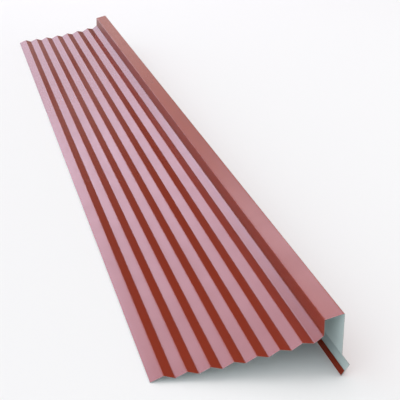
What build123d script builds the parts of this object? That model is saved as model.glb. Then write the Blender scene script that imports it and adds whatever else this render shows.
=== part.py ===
"""Verge flashing: one length of roll-formed, prepainted steel sheet.

The section is walked along the painted face of the sheet, from the free edge of
the pan to the raw edge of the hem, then given its thickness on the coated back.
Units are millimetres.  X runs across the section from the free edge of the pan
to the fascia, Y runs along the length and Z is up.  The part lies as it rests on
a level floor, on the free edge of the pan and on the fold of the hem, with the
origin at the bottom centre of its bounding box.
"""

import os
from math import atan2, cos, degrees, hypot, radians, sin

from build123d import *

# Stock
LENGTH = 3000.0
SHEET = 0.5
BEND_RADIUS = 1.0

# Pan: low V ribs along the length, on a shallow dish
RIB_COUNT = 7
RIB_PITCH = 41.0
RIB_HEIGHT = 7.4
RIB_PEAK_RATIO = 0.53
FREE_EDGE = 2.6
PAN_FIRST_ANGLE = 7.9
PAN_LAST_ANGLE = 17.3

# Box rib over the verge batten, with a last flank that leads up to its web
FLANK = 21.2
FLANK_ANGLE = 41.0
WEB = 29.2
WEB_ANGLE = 92.9
TOP = 37.0
TOP_ANGLE = 18.2
FASCIA = 77.0
FASCIA_ANGLE = -87.8

# Drip nose and hem below the fascia
KICK = 25.0
KICK_ANGLE = -51.0
RETURN = 25.0
RETURN_ANGLE = -121.0
HEM_FLAP = 11.0
HEM_RADIUS = 0.4


def step(point, length, angle):
    """Walk a length from a point at an angle in degrees."""
    return (
        point[0] + length * cos(radians(angle)),
        point[1] + length * sin(radians(angle)),
    )


def pan_points():
    """Valleys and peaks of the pan, from its free edge to the foot of the web."""
    run = RIB_PEAK_RATIO * RIB_PITCH
    rise_angle = degrees(atan2(RIB_HEIGHT, run))
    fall_angle = degrees(atan2(RIB_HEIGHT, RIB_PITCH - run))
    rise = hypot(run, RIB_HEIGHT)
    fall = hypot(RIB_PITCH - run, RIB_HEIGHT)
    valley = (0.0, 0.0)
    points = [step(valley, -FREE_EDGE, PAN_FIRST_ANGLE + rise_angle)]
    for rib in range(RIB_COUNT):
        across = rib / (RIB_COUNT - 1)
        slope = PAN_FIRST_ANGLE + across * (PAN_LAST_ANGLE - PAN_FIRST_ANGLE)
        peak = step(valley, rise, slope + rise_angle)
        valley = step(peak, fall, slope - fall_angle)
        points += [peak, valley]
    points.append(step(valley, FLANK, FLANK_ANGLE))
    return points


def edge_points():
    """Corners of the box rib and the drip nose, down to the fold of the hem."""
    points = [step(pan_points()[-1], WEB, WEB_ANGLE)]
    points.append(step(points[-1], TOP, TOP_ANGLE))
    points.append(step(points[-1], FASCIA, FASCIA_ANGLE))
    points.append(step(points[-1], KICK, KICK_ANGLE))
    points.append(step(points[-1], RETURN - HEM_RADIUS - SHEET, RETURN_ANGLE))
    return points


def painted_line():
    """Painted face of the section as one line, bends and hem fold included."""
    sharp = Polyline(*pan_points(), *edge_points())
    bends = sharp.vertices().sort_by(sharp)[1:-1]
    bent = fillet(bends, BEND_RADIUS + SHEET)
    fold_start = edge_points()[-1]
    fold_radius = HEM_RADIUS + SHEET
    inward = RETURN_ANGLE - 90.0
    fold_centre = step(fold_start, fold_radius, inward)
    fold_end = step(fold_centre, fold_radius, inward)
    fold = ThreePointArc(fold_start, step(fold_centre, fold_radius, RETURN_ANGLE), fold_end)
    flap = Line(fold_end, step(fold_end, HEM_FLAP - fold_radius, RETURN_ANGLE + 180.0))
    return Wire([*bent.edges(), fold, flap])


def section():
    """Closed section: the painted line with the sheet thickness behind it."""
    return make_face(offset(painted_line(), SHEET, side=Side.RIGHT).edges())


def rested(face):
    """Turn and move the section so that its two lowest lines lie on the floor."""
    fold_radius = HEM_RADIUS + SHEET
    fold_low = step(edge_points()[-1], fold_radius, RETURN_ANGLE - 45.0)
    edge_low = pan_points()[0]
    tilt = atan2(fold_low[1] - edge_low[1], fold_low[0] - edge_low[0])
    turned = face.rotate(Axis.Z, -degrees(tilt))
    box = turned.bounding_box()
    return Pos(-box.center().X, -box.min.Y) * turned


def verge_flashing():
    """The whole length, with the section standing in the XZ plane."""
    standing = Plane.XZ * rested(section())
    return extrude(standing, amount=LENGTH / 2.0, both=True)


part = verge_flashing()
part.label = "verge_flashing"
os.makedirs("parts", exist_ok=True)
export_step(part, "parts/verge_flashing.step")
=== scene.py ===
"""Looks of a verge flashing: one length of roll-formed, prepainted steel sheet.

The sheet is one surface: its section is walked along the painted face, bend by
bend, given its thickness on the back, and carried straight along the length.
The sheet's sizes are in millimetres and become metres in its mesh.  The studio
and the camera are in metres.
"""

import logging
import math
from dataclasses import dataclass, field
from enum import IntEnum
from typing import Any

import bpy
import numpy as np
from mathutils import Matrix, Vector

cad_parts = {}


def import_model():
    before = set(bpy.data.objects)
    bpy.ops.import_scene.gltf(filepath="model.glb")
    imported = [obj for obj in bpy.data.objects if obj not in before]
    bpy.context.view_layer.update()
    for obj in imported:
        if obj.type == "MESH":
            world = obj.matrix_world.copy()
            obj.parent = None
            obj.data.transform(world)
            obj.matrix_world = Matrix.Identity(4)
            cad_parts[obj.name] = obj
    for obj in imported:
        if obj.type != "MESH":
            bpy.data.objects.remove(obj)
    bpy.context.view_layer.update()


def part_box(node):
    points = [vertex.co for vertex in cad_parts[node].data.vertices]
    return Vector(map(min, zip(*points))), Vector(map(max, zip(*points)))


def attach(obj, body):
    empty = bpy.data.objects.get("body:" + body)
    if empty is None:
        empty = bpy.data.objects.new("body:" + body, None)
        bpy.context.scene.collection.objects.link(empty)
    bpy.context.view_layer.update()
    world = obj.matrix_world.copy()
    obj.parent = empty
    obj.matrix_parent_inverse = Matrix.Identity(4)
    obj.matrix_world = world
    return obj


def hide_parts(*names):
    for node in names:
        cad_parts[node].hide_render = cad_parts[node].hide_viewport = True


LOG = logging.getLogger("verge_flashing")
MM = 0.001
HALF_TURN = 180.0

# The sRGB curve: a straight line up to the cut, a power above it
SRGB_CUT = 0.04045
SRGB_SLOPE = 12.92
SRGB_OFFSET = 0.055
SRGB_POWER = 2.4


class Face(IntEnum):
    """Which coat a face of the sheet carries, as its material slot."""

    PAINT = 0
    BACK = 1
    CUT = 2


class MixInput(IntEnum):
    """Inputs of a Mix node, by number because their names repeat."""

    NUMBER_A = 2
    NUMBER_B = 3
    COLOUR_A = 6
    COLOUR_B = 7


class MixOutput(IntEnum):
    """Outputs of a Mix node, by number because their names repeat."""

    NUMBER = 0
    COLOUR = 2


def linear(hex_colour: str) -> tuple[float, float, float, float]:
    """Turn an sRGB hex colour into linear red, green, blue and alpha.

    Args:
        hex_colour: Six hex digits with a leading hash.

    Returns:
        The linear colour with alpha 1.
    """
    srgb = np.array([int(hex_colour[i : i + 2], 16) for i in (1, 3, 5)]) / 255.0
    power = ((srgb + SRGB_OFFSET) / (1.0 + SRGB_OFFSET)) ** SRGB_POWER
    rgb = np.where(srgb <= SRGB_CUT, srgb / SRGB_SLOPE, power)
    return (*rgb.tolist(), 1.0)


def add_node(
    tree: bpy.types.NodeTree,
    kind: str,
    settings: dict[str, Any] | None = None,
    inputs: dict[str | int, Any] | None = None,
) -> bpy.types.Node:
    """Add a node with its settings, and set or link its inputs.

    Args:
        tree: Node tree that takes the node.
        kind: Blender's name for the kind of node.
        settings: Properties of the node, by name.
        inputs: Values or output sockets, by input name or number.

    Returns:
        The new node.
    """
    node = tree.nodes.new(kind)
    for name, value in (settings or {}).items():
        setattr(node, name, value)
    for name, value in (inputs or {}).items():
        if isinstance(value, bpy.types.NodeSocket):
            tree.links.new(value, node.inputs[name])
        else:
            node.inputs[name].default_value = value
    return node


def new_material(
    name: str,
) -> tuple[bpy.types.Material, bpy.types.NodeTree, bpy.types.Node]:
    """Make an empty material with a Principled shader.

    Args:
        name: Name of the real finish.

    Returns:
        The material, its node tree and the shader node.
    """
    material = bpy.data.materials.new(name)
    material.use_nodes = True
    tree = material.node_tree
    tree.nodes.clear()
    shader = add_node(tree, "ShaderNodeBsdfPrincipled")
    surface = shader.outputs["BSDF"]
    add_node(tree, "ShaderNodeOutputMaterial", inputs={"Surface": surface})
    return material, tree, shader


@dataclass(frozen=True)
class CoilPaint:
    """Polyester coil coat, brick red, rolled on before the sheet was formed.

    It gives an even satin face that goes pale where light comes in low, with a
    faint cloudiness from the coating roller and drawn lines from the forming
    rolls along the length.  The colour is mixed paler over a ridge, a painted
    highlight along each ridge bend, and darker down in a crease, painted shade.
    The coat is duller on the web, which the rolls rub.
    """

    colour: str = "#923520"
    cloud_colour: str = "#8a311e"
    # Painted highlight: the paler colour mixed in on every ridge bend
    ridge_highlight_colour: str = "#9c4430"
    # Painted shade: the darker colour mixed in on every crease bend
    crease_shade_colour: str = "#6f2416"
    ior: float = 1.5
    roughness: tuple[float, float] = (0.18, 0.24)
    rubbed_roughness: float = 0.45
    cloud_mm: float = 90.0
    cloud_detail: float = 3.0
    roll_line_mm: float = 16.0
    roll_line_length_mm: float = 900.0
    roll_line_detail: float = 1.0
    noise_sum: tuple[float, float] = (0.5, 1.5)
    peel_mm: float = 3.0
    peel_detail: float = 2.0
    peel_height_mm: float = 0.005

    def build(self) -> bpy.types.Material:
        """Build the material from noise in real millimetres.

        Returns:
            The paint.
        """
        material, tree, shader = new_material("brick_red_polyester_coil_coat")
        place = add_node(tree, "ShaderNodeTexCoord").outputs["Object"]
        cloud = add_node(
            tree,
            "ShaderNodeTexNoise",
            inputs={
                "Vector": place,
                "Scale": 1.0 / (self.cloud_mm * MM),
                "Detail": self.cloud_detail,
            },
        ).outputs["Fac"]
        across = 1.0 / (self.roll_line_mm * MM)
        along = 1.0 / (self.roll_line_length_mm * MM)
        drawn = add_node(
            tree,
            "ShaderNodeMapping",
            inputs={"Vector": place, "Scale": (across, along, across)},
        ).outputs["Vector"]
        roll_line = add_node(
            tree,
            "ShaderNodeTexNoise",
            inputs={"Vector": drawn, "Scale": 1.0, "Detail": self.roll_line_detail},
        ).outputs["Fac"]
        base = add_node(
            tree,
            "ShaderNodeMix",
            {"data_type": "RGBA"},
            {
                "Factor": cloud,
                MixInput.COLOUR_A: linear(self.colour),
                MixInput.COLOUR_B: linear(self.cloud_colour),
            },
        ).outputs[MixOutput.COLOUR]
        # Paler paint on the ridges is a painted highlight, and darker paint in the
        # creases is painted shade
        bends = {"ridge": self.ridge_highlight_colour, "crease": self.crease_shade_colour}
        for name, colour in bends.items():
            share = add_node(tree, "ShaderNodeAttribute", {"attribute_name": name})
            base = add_node(
                tree,
                "ShaderNodeMix",
                {"data_type": "RGBA"},
                {
                    "Factor": share.outputs["Fac"],
                    MixInput.COLOUR_A: base,
                    MixInput.COLOUR_B: linear(colour),
                },
            ).outputs[MixOutput.COLOUR]
        both = add_node(
            tree,
            "ShaderNodeMath",
            {"operation": "ADD"},
            {0: cloud, 1: roll_line},
        ).outputs["Value"]
        rough = add_node(
            tree,
            "ShaderNodeMapRange",
            inputs={
                "Value": both,
                "From Min": self.noise_sum[0],
                "From Max": self.noise_sum[1],
                "To Min": self.roughness[0],
                "To Max": self.roughness[1],
            },
        ).outputs["Result"]
        rubbed = add_node(tree, "ShaderNodeAttribute", {"attribute_name": "rubbed"})
        rough = add_node(
            tree,
            "ShaderNodeMix",
            {"data_type": "FLOAT"},
            {
                "Factor": rubbed.outputs["Fac"],
                MixInput.NUMBER_A: rough,
                MixInput.NUMBER_B: self.rubbed_roughness,
            },
        ).outputs[MixOutput.NUMBER]
        # Orange peel is under a millimetre wide, drawn coarser so that it shows
        peel = add_node(
            tree,
            "ShaderNodeTexNoise",
            inputs={
                "Vector": place,
                "Scale": 1.0 / (self.peel_mm * MM),
                "Detail": self.peel_detail,
            },
        ).outputs["Fac"]
        bump = add_node(
            tree,
            "ShaderNodeBump",
            inputs={
                "Height": peel,
                "Distance": self.peel_height_mm * MM,
                "Strength": 1.0,
            },
        ).outputs["Normal"]
        shader.inputs["IOR"].default_value = self.ior
        tree.links.new(base, shader.inputs["Base Color"])
        tree.links.new(rough, shader.inputs["Roughness"])
        tree.links.new(bump, shader.inputs["Normal"])
        return material


@dataclass(frozen=True)
class BackCoat:
    """Epoxy wash coat on the back of the sheet: thin, matt and greenish grey.

    It gives a flat pale face with the streaks that the coating line leaves along
    the sheet.
    """

    colour: str = "#d5e2e0"
    streak_colour: str = "#c9d6d5"
    ior: float = 1.5
    roughness: float = 0.5
    streak_mm: float = 14.0
    streak_length_mm: float = 700.0
    streak_detail: float = 3.0

    def build(self) -> bpy.types.Material:
        """Build the material with streaks along the length.

        Returns:
            The back coat.
        """
        material, tree, shader = new_material("grey_epoxy_back_coat")
        place = add_node(tree, "ShaderNodeTexCoord").outputs["Object"]
        across = 1.0 / (self.streak_mm * MM)
        along = 1.0 / (self.streak_length_mm * MM)
        drawn = add_node(
            tree,
            "ShaderNodeMapping",
            inputs={"Vector": place, "Scale": (across, along, across)},
        ).outputs["Vector"]
        streak = add_node(
            tree,
            "ShaderNodeTexNoise",
            inputs={"Vector": drawn, "Scale": 1.0, "Detail": self.streak_detail},
        ).outputs["Fac"]
        base = add_node(
            tree,
            "ShaderNodeMix",
            {"data_type": "RGBA"},
            {
                "Factor": streak,
                MixInput.COLOUR_A: linear(self.colour),
                MixInput.COLOUR_B: linear(self.streak_colour),
            },
        ).outputs[MixOutput.COLOUR]
        shader.inputs["IOR"].default_value = self.ior
        shader.inputs["Roughness"].default_value = self.roughness
        tree.links.new(base, shader.inputs["Base Color"])
        return material


@dataclass(frozen=True)
class CutSteel:
    """Sheared edge of zinc-coated steel: bare metal with fine shear marks."""

    colour: str = "#a9a8a5"
    dull_colour: str = "#7f7d7a"
    roughness: float = 0.42
    mark_mm: float = 6.0
    mark_detail: float = 2.0

    def build(self) -> bpy.types.Material:
        """Build the material with dull and bright patches along the cut.

        Returns:
            The cut edge.
        """
        material, tree, shader = new_material("sheared_zinc_coated_steel")
        place = add_node(tree, "ShaderNodeTexCoord").outputs["Object"]
        mark = add_node(
            tree,
            "ShaderNodeTexNoise",
            inputs={
                "Vector": place,
                "Scale": 1.0 / (self.mark_mm * MM),
                "Detail": self.mark_detail,
            },
        ).outputs["Fac"]
        base = add_node(
            tree,
            "ShaderNodeMix",
            {"data_type": "RGBA"},
            {
                "Factor": mark,
                MixInput.COLOUR_A: linear(self.colour),
                MixInput.COLOUR_B: linear(self.dull_colour),
            },
        ).outputs[MixOutput.COLOUR]
        shader.inputs["Metallic"].default_value = 1.0
        shader.inputs["Roughness"].default_value = self.roughness
        tree.links.new(base, shader.inputs["Base Color"])
        return material


@dataclass(frozen=True)
class Section:
    """Section of the flashing, walked along its painted face.

    Lengths are in millimetres and angles in degrees.
    """

    sheet: float = 0.5
    bend_radius: float = 1.0
    rib_count: int = 7
    rib_pitch: float = 41.0
    rib_height: float = 7.4
    rib_peak_ratio: float = 0.53
    free_edge: float = 2.6
    pan_first_angle: float = 7.9
    pan_last_angle: float = 17.3
    flank: float = 21.2
    flank_angle: float = 41.0
    web: float = 29.2
    web_angle: float = 92.9
    top: float = 37.0
    top_angle: float = 18.2
    fascia: float = 77.0
    fascia_angle: float = -87.8
    kick: float = 25.0
    kick_angle: float = -51.0
    nose_return: float = 25.0
    return_angle: float = -121.0
    hem_flap: float = 11.0
    hem_radius: float = 0.4
    fold_low_turn: float = 45.0
    flat_steps: int = 8
    bend_steps: int = 6

    def runs(self) -> tuple[np.ndarray, np.ndarray]:
        """List the straight runs between the sharp corners.

        A rib is a rise over the peak's share of the pitch and a fall over the
        rest, both turned by the pan's slope, which grows evenly from rib to rib.

        Returns:
            Lengths in millimetres and headings in degrees, in order of walking.
        """
        slope = np.linspace(self.pan_first_angle, self.pan_last_angle, self.rib_count)
        rise_run = self.rib_peak_ratio * self.rib_pitch
        fall_run = self.rib_pitch - rise_run
        rise_angle = math.degrees(math.atan2(self.rib_height, rise_run))
        fall_angle = math.degrees(math.atan2(self.rib_height, fall_run))
        rib_runs = np.hypot([rise_run, fall_run], self.rib_height)
        pan_lengths = np.tile(rib_runs, self.rib_count)
        pan_lengths[0] += self.free_edge
        pan_headings = np.stack([slope + rise_angle, slope - fall_angle], axis=1)
        lengths = [self.flank, self.web, self.top, self.fascia, self.kick]
        lengths += [self.nose_return, self.hem_flap]
        headings = [self.flank_angle, self.web_angle, self.top_angle, self.fascia_angle]
        headings += [self.kick_angle, self.return_angle, self.return_angle - HALF_TURN]
        return np.append(pan_lengths, lengths), np.append(pan_headings, headings)

    def walk(self) -> tuple[np.ndarray, np.ndarray, np.ndarray]:
        """Walk the runs with a round bend at every corner.

        Each run is shortened at both ends by its bend's set-back, which is the
        radius times the tangent of half the turn, or the radius for the hem's
        half turn.  A run then goes in even steps along its heading, a bend in
        chords whose headings turn evenly, and the line is the running sum.  The
        bend share is the sine of pi times the share of the turn that is done.

        Returns:
            Points in millimetres, headings in radians, and how far each point is
            inside a bend, from 0 on a flat to 1 on a ridge or -1 in a crease.
        """
        lengths, degrees = self.runs()
        headings = np.radians(degrees)
        turns = np.diff(headings)
        radii = np.full(turns.size, self.bend_radius + self.sheet)
        radii[-1] = self.hem_radius + self.sheet
        setbacks = radii * np.tan(np.abs(turns) / 2.0)
        setbacks[-1] = radii[-1]
        flats = lengths - np.append(0.0, setbacks) - np.append(setbacks, 0.0)

        flat_share = np.full(self.flat_steps, 1.0 / self.flat_steps)
        flat_walk = flats[:, None] * flat_share[None, :]
        flat_turn = np.repeat(headings[:, None], self.flat_steps, axis=1)
        chord = 2.0 * radii * np.sin(np.abs(turns) / (2.0 * self.bend_steps))
        middle = (np.arange(self.bend_steps) + 0.5) / self.bend_steps
        bend_walk = np.repeat(chord[:, None], self.bend_steps, axis=1)
        bend_turn = headings[:-1, None] + turns[:, None] * middle[None, :]

        walk = np.hstack([flat_walk[:-1], bend_walk]).ravel()
        walk = np.append(walk, flat_walk[-1])
        turn = np.append(np.hstack([flat_turn[:-1], bend_turn]).ravel(), flat_turn[-1])
        moves = walk[:, None] * np.stack([np.cos(turn), np.sin(turn)], axis=1)
        points = np.vstack([np.zeros((1, 2)), np.cumsum(moves, axis=0)])

        ends = (np.arange(self.bend_steps) + 1.0) / self.bend_steps
        bend_ends = headings[:-1, None] + turns[:, None] * ends[None, :]
        heading_at = np.hstack([flat_turn[:-1], bend_ends]).ravel()
        heading_at = np.concatenate([headings[:1], heading_at, flat_turn[-1]])
        inside = -np.sign(turns)[:, None] * np.sin(np.pi * ends)[None, :]
        bent = np.hstack([np.zeros_like(flat_turn[:-1]), inside]).ravel()
        bent = np.concatenate([[0.0], bent, np.zeros(self.flat_steps)])
        return points, heading_at, bent

    def on_web(self) -> np.ndarray:
        """Mark the points of the walk that lie on the flat of the web.

        Each run takes its flat steps and its bend steps, and the web comes after
        the ribs, two runs each, and the last flank.

        Returns:
            One share for each point, 1 on the web and 0 elsewhere.
        """
        per_run = self.flat_steps + self.bend_steps
        points = len(self.runs()[0]) * per_run - self.bend_steps + 1
        web_start = (2 * self.rib_count + 1) * per_run
        step = np.arange(points) - web_start
        return ((step >= 0) & (step <= self.flat_steps)).astype(float)

    def faces_of_sheet(self) -> tuple[np.ndarray, np.ndarray, np.ndarray]:
        """Lay the section down on its two lowest lines.

        The back is the painted line moved by the sheet thickness to the right
        of the walk.  The whole is turned so that the free edge and the fold of
        the hem come level.

        Returns:
            Painted and back points in millimetres, and the bend share of each.
        """
        points, headings, bent = self.walk()
        fold_start = points[-self.flat_steps - self.bend_steps - 1]
        fold_way = math.radians(self.return_angle - self.fold_low_turn)
        fold_step = np.array([math.cos(fold_way), math.sin(fold_way)])
        fold_low = fold_start + (self.hem_radius + self.sheet) * fold_step
        tilt = math.atan2(*(fold_low - points[0])[::-1])
        along, across = math.cos(tilt), math.sin(tilt)
        turned = np.array([[along, across], [-across, along]])
        normals = np.stack([-np.sin(headings), np.cos(headings)], axis=1) @ turned.T
        painted = points @ turned.T
        return painted, painted - self.sheet * normals, bent


@dataclass
class FlashingSheet:
    """The whole sheet: the section carried along the length, coat by coat."""

    section: Section = field(default_factory=Section)
    paint: CoilPaint = field(default_factory=CoilPaint)
    back_coat: BackCoat = field(default_factory=BackCoat)
    cut_steel: CutSteel = field(default_factory=CutSteel)
    node: str = "verge_flashing"
    slot: str = "prepainted_steel"
    stations: int = 61

    def grid(self, line: np.ndarray, along: np.ndarray) -> np.ndarray:
        """Carry a section line along the length.

        Point (i, j) is the section's point j at station i: its first coordinate
        is X, its second is Z and the station is Y.

        Args:
            line: Section points in metres, one row each.
            along: Stations in metres.

        Returns:
            Vertices in metres, station by station.
        """
        surface = np.empty((along.size, len(line), 3))
        surface[:, :, 0] = line[None, :, 0]
        surface[:, :, 1] = along[:, None]
        surface[:, :, 2] = line[None, :, 1]
        return surface.reshape(-1, 3)

    def quads(self, rows: int, columns: int) -> tuple[np.ndarray, np.ndarray]:
        """Join the two faces, the long edges and the ends with quads.

        A quad of a face joins point (i, j) to its neighbours at j + 1 and i + 1.
        A quad of an edge joins two neighbours on the border of the painted grid
        to the same two on the back.

        Args:
            rows: Stations along the length.
            columns: Points across the section.

        Returns:
            Vertex numbers of every quad and the coat of every quad.
        """
        top = np.arange(rows * columns).reshape(rows, columns)
        back = top + rows * columns
        outer = [top[:-1, :-1], top[:-1, 1:], top[1:, 1:], top[1:, :-1]]
        inner = [back[:-1, :-1], back[1:, :-1], back[1:, 1:], back[:-1, 1:]]
        near = [top[0, :-1], back[0, :-1], back[0, 1:], top[0, 1:]]
        far = [top[-1, :-1], top[-1, 1:], back[-1, 1:], back[-1, :-1]]
        free = [top[:-1, 0], top[1:, 0], back[1:, 0], back[:-1, 0]]
        raw = [top[:-1, -1], back[:-1, -1], back[1:, -1], top[1:, -1]]
        sides = [(outer, Face.PAINT), (inner, Face.BACK)]
        sides += [(cut, Face.CUT) for cut in (near, far, free, raw)]
        groups = [np.stack(corners, -1).reshape(-1, 4) for corners, _ in sides]
        coats = [np.full(len(group), coat) for group, (_, coat) in zip(groups, sides)]
        return np.concatenate(groups), np.concatenate(coats)

    def build(self) -> bpy.types.Object:
        """Build the sheet in the place of its CAD node and dress it.

        Returns:
            The finished piece.
        """
        low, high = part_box(self.node)
        painted, back, bent = self.section.faces_of_sheet()
        both = np.vstack([painted, back])
        shift = np.array([low.x, low.z]) - both.min(axis=0) * MM
        along = np.linspace(low.y, high.y, self.stations)
        lines = [line * MM + shift for line in (painted, back)]
        vertices = np.vstack([self.grid(line, along) for line in lines])
        quads, coats = self.quads(along.size, len(painted))

        mesh = bpy.data.meshes.new("flashing_sheet")
        mesh.from_pydata(vertices.tolist(), [], quads.tolist())
        mesh.polygons.foreach_set("material_index", coats.astype(np.int32))
        mesh.polygons.foreach_set("use_smooth", coats != Face.CUT)
        # The ridge and crease shares place the painted highlight and the painted shade
        shares = {"ridge": bent, "crease": -bent, "rubbed": self.section.on_web()}
        for name, share in shares.items():
            values = np.tile(share.clip(0.0), 2 * along.size).astype(np.float32)
            layer = mesh.attributes.new(name, "FLOAT", "POINT")
            layer.data.foreach_set("value", values)
        # An edge is sharp where it joins the painted face to the back
        sharp = mesh.attributes.new("sharp_edge", "BOOLEAN", "EDGE")
        ends = np.empty(2 * len(mesh.edges), np.int32)
        mesh.edges.foreach_get("vertices", ends)
        split = (ends.reshape(-1, 2) < len(vertices) // 2).sum(axis=1) == 1
        sharp.data.foreach_set("value", split)
        for finish in (self.paint, self.back_coat, self.cut_steel):
            mesh.materials.append(finish.build())
        mesh.update()

        piece = bpy.data.objects.new("flashing_sheet", mesh)
        bpy.context.scene.collection.objects.link(piece)
        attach(piece, "root")
        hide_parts(self.node)
        return piece


@dataclass(frozen=True)
class SoftLight:
    """A soft rectangular light that hangs in the room, in metres."""

    name: str
    place: tuple[float, float, float]
    target: tuple[float, float, float]
    size: tuple[float, float]
    radiance: float
    colour: str = "#ffffff"
    roll: float = 0.0

    def hang(self) -> None:
        """Hang the light so that its face has its radiance, where 1 is white."""
        light = bpy.data.lights.new(self.name, "AREA")
        light.shape = "RECTANGLE"
        light.size, light.size_y = self.size
        light.energy = self.radiance * math.pi * self.size[0] * self.size[1]
        light.color = linear(self.colour)[:3]
        lamp = bpy.data.objects.new(self.name, light)
        lamp.matrix_world = facing(self.place, self.target, self.roll)
        lamp.visible_camera = False
        bpy.context.scene.collection.objects.link(lamp)


@dataclass(frozen=True)
class Card:
    """A flat card of the studio set, such as the floor or a wall, in metres."""

    name: str
    place: tuple[float, float, float]
    target: tuple[float, float, float]
    size: tuple[float, float]
    colour: str
    gloss_only: bool = False
    roughness: float = 0.9
    specular: float = 0.1

    def stand(self) -> None:
        """Stand the card: a grid of its four corners, turned to face its target."""
        across, up = np.meshgrid([-0.5, 0.5], [-0.5, 0.5], indexing="ij")
        level, one = np.zeros_like(up), np.ones_like(up)
        flat = np.stack([across * self.size[0], up * self.size[1], level, one], -1)
        corners = flat.reshape(-1, 4) @ np.array(facing(self.place, self.target)).T
        mesh = bpy.data.meshes.new(self.name)
        mesh.from_pydata(corners[:, :3].tolist(), [], [[0, 1, 3, 2]])
        material, _, shader = new_material("matt_" + self.name)
        shader.inputs["Base Color"].default_value = linear(self.colour)
        shader.inputs["Roughness"].default_value = self.roughness
        shader.inputs["Specular IOR Level"].default_value = self.specular
        mesh.materials.append(material)
        card = bpy.data.objects.new(self.name, mesh)
        if self.gloss_only:
            card.visible_camera = card.visible_diffuse = card.visible_shadow = False
        bpy.context.scene.collection.objects.link(card)


def facing(
    place: tuple[float, float, float],
    target: tuple[float, float, float],
    roll: float = 0.0,
) -> Matrix:
    """Place a thing so that its -Z side faces a target, with Y as its upright.

    Args:
        place: Its middle, in metres.
        target: The point that it faces.
        roll: Degrees that it is turned in its own plane.

    Returns:
        The matrix that puts it there.
    """
    way = Vector(target) - Vector(place)
    aim = way.to_track_quat("-Z", "Y").to_matrix().to_4x4()
    turn = Matrix.Rotation(math.radians(roll), 4, "Z")
    return Matrix.Translation(place) @ aim @ turn


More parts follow.
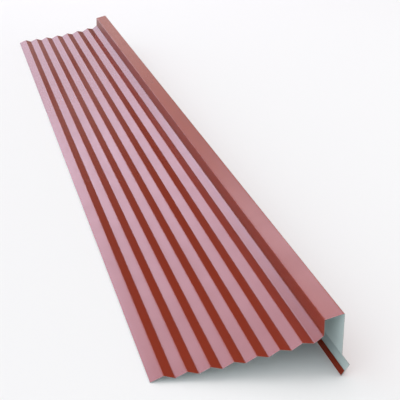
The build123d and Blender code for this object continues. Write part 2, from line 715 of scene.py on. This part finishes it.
@dataclass
class Studio:
    """Pale floor, pale room and soft lights at a plain level.

    Overhead light comes from the right and a large dim light from the front
    left.  At the far end a dark wall, which only the gloss sees, stands behind
    cool windows on the left, so the flanks that lean left go pale and the flanks
    that lean right keep the colour of the paint.  A high window and dim glows
    beside them lift the top of the box rib and the far flanks.
    """

    room_pale: float = 0.93
    room_fill: float = 0.80
    room_colour: str = "#ffffff"
    floor: Card = Card(
        "studio_floor",
        place=(0.0, 0.0, -0.0004),
        target=(0.0, 0.0, -1.0),
        size=(90.0, 90.0),
        colour="#ececec",
    )
    wall: Card = Card(
        "studio_dark_wall",
        place=(0.0, 7.0, 3.2),
        target=(0.0, 0.0, 3.2),
        size=(18.0, 6.4),
        colour="#1c1c1c",
        gloss_only=True,
    )
    lights: tuple[SoftLight, ...] = (
        SoftLight(
            "overhead_softbox",
            place=(3.2, 0.0, 5.5),
            target=(0.0, 0.0, 0.0),
            size=(6.0, 12.0),
            radiance=0.64,
        ),
        SoftLight(
            "far_left_window",
            place=(-2.2, 5.5, 2.95),
            target=(-0.2, 0.0, 0.1),
            size=(0.95, 3.9),
            radiance=3.5,
            colour="#ede6ff",
            roll=-34.0,
        ),
        SoftLight(
            "far_low_window",
            place=(-0.55, 5.6, 0.95),
            target=(-0.2, 0.0, 0.1),
            size=(0.95, 1.5),
            radiance=1.65,
            colour="#ece8ff",
        ),
        SoftLight(
            "far_high_window",
            place=(0.45, 5.5, 3.8),
            target=(0.1, 0.0, 0.1),
            size=(1.5, 2.0),
            radiance=2.8,
            colour="#efe2f2",
        ),
        SoftLight(
            "far_mid_glow",
            place=(0.2, 5.55, 1.8),
            target=(0.0, 0.0, 0.1),
            size=(0.8, 2.1),
            radiance=0.74,
            colour="#ffdedb",
        ),
        SoftLight(
            "far_low_glow",
            place=(0.3, 5.6, 0.8),
            target=(0.0, 0.0, 0.1),
            size=(0.9, 1.2),
            radiance=0.24,
        ),
        SoftLight(
            "far_right_glow",
            place=(1.32, 5.6, 0.7),
            target=(0.0, 0.0, 0.05),
            size=(0.95, 0.7),
            radiance=0.32,
        ),
        SoftLight(
            "front_left_softbox",
            place=(-4.6, -9.5, 3.6),
            target=(0.0, -1.4, 0.05),
            size=(10.0, 6.4),
            radiance=1.8,
            colour="#f2f6ff",
        ),
    )

    def room(self) -> None:
        """Fill the room: pale to the eye and in the gloss, dimmer as fill light."""
        world = bpy.data.worlds.new("studio_room")
        world.use_nodes = True
        tree = world.node_tree
        path = add_node(tree, "ShaderNodeLightPath").outputs
        seen = path["Is Camera Ray"]
        for ray in ("Is Glossy Ray", "Is Transmission Ray"):
            seen = add_node(
                tree,
                "ShaderNodeMath",
                {"operation": "MAXIMUM"},
                {0: seen, 1: path[ray]},
            ).outputs["Value"]
        level = add_node(
            tree,
            "ShaderNodeMapRange",
            inputs={
                "Value": seen,
                "To Min": self.room_fill,
                "To Max": self.room_pale,
            },
        ).outputs["Result"]
        ground = tree.nodes["Background"]
        ground.inputs["Color"].default_value = linear(self.room_colour)
        tree.links.new(level, ground.inputs["Strength"])
        bpy.context.scene.world = world

    def build(self) -> None:
        """Set the floor, the wall, the room and the lights."""
        self.floor.stand()
        self.wall.stand()
        self.room()
        for light in self.lights:
            light.hang()


@dataclass
class PhotoCamera:
    """Camera at the photograph's viewing angle, found from the part's two ends."""

    place: tuple[float, float, float] = (-0.545, -3.372, 0.927)
    yaw: float = -13.085
    pitch: float = 72.529
    roll: float = 3.778
    focal_px: float = 1250.0
    frame_px: float = 400.0

    def build(self) -> bpy.types.Object:
        """Place the camera and make it the scene's camera.

        Returns:
            The camera.
        """
        data = bpy.data.cameras.new("photo_camera")
        data.sensor_fit = "HORIZONTAL"
        data.lens = data.sensor_width * self.focal_px / self.frame_px
        camera = bpy.data.objects.new("photo_camera", data)
        turn = Matrix.Rotation(math.radians(self.yaw), 4, "Z")
        turn = turn @ Matrix.Rotation(math.radians(self.pitch), 4, "X")
        turn = turn @ Matrix.Rotation(math.radians(self.roll), 4, "Z")
        camera.matrix_world = Matrix.Translation(self.place) @ turn
        bpy.context.scene.collection.objects.link(camera)
        bpy.context.scene.camera = camera
        return camera


def main() -> None:
    """Build the sheet, the studio and the camera in order."""
    logging.basicConfig(level=logging.INFO, format="%(name)s: %(message)s")
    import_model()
    sheet = FlashingSheet().build()
    LOG.info("%s: %d faces", sheet.name, len(sheet.data.polygons))
    Studio().build()
    LOG.info("studio set")
    camera = PhotoCamera().build()
    LOG.info("%s: lens %.1f mm", camera.name, camera.data.lens)
    bpy.context.scene.view_settings.view_transform = "Standard"


if __name__ == "__main__":
    main()
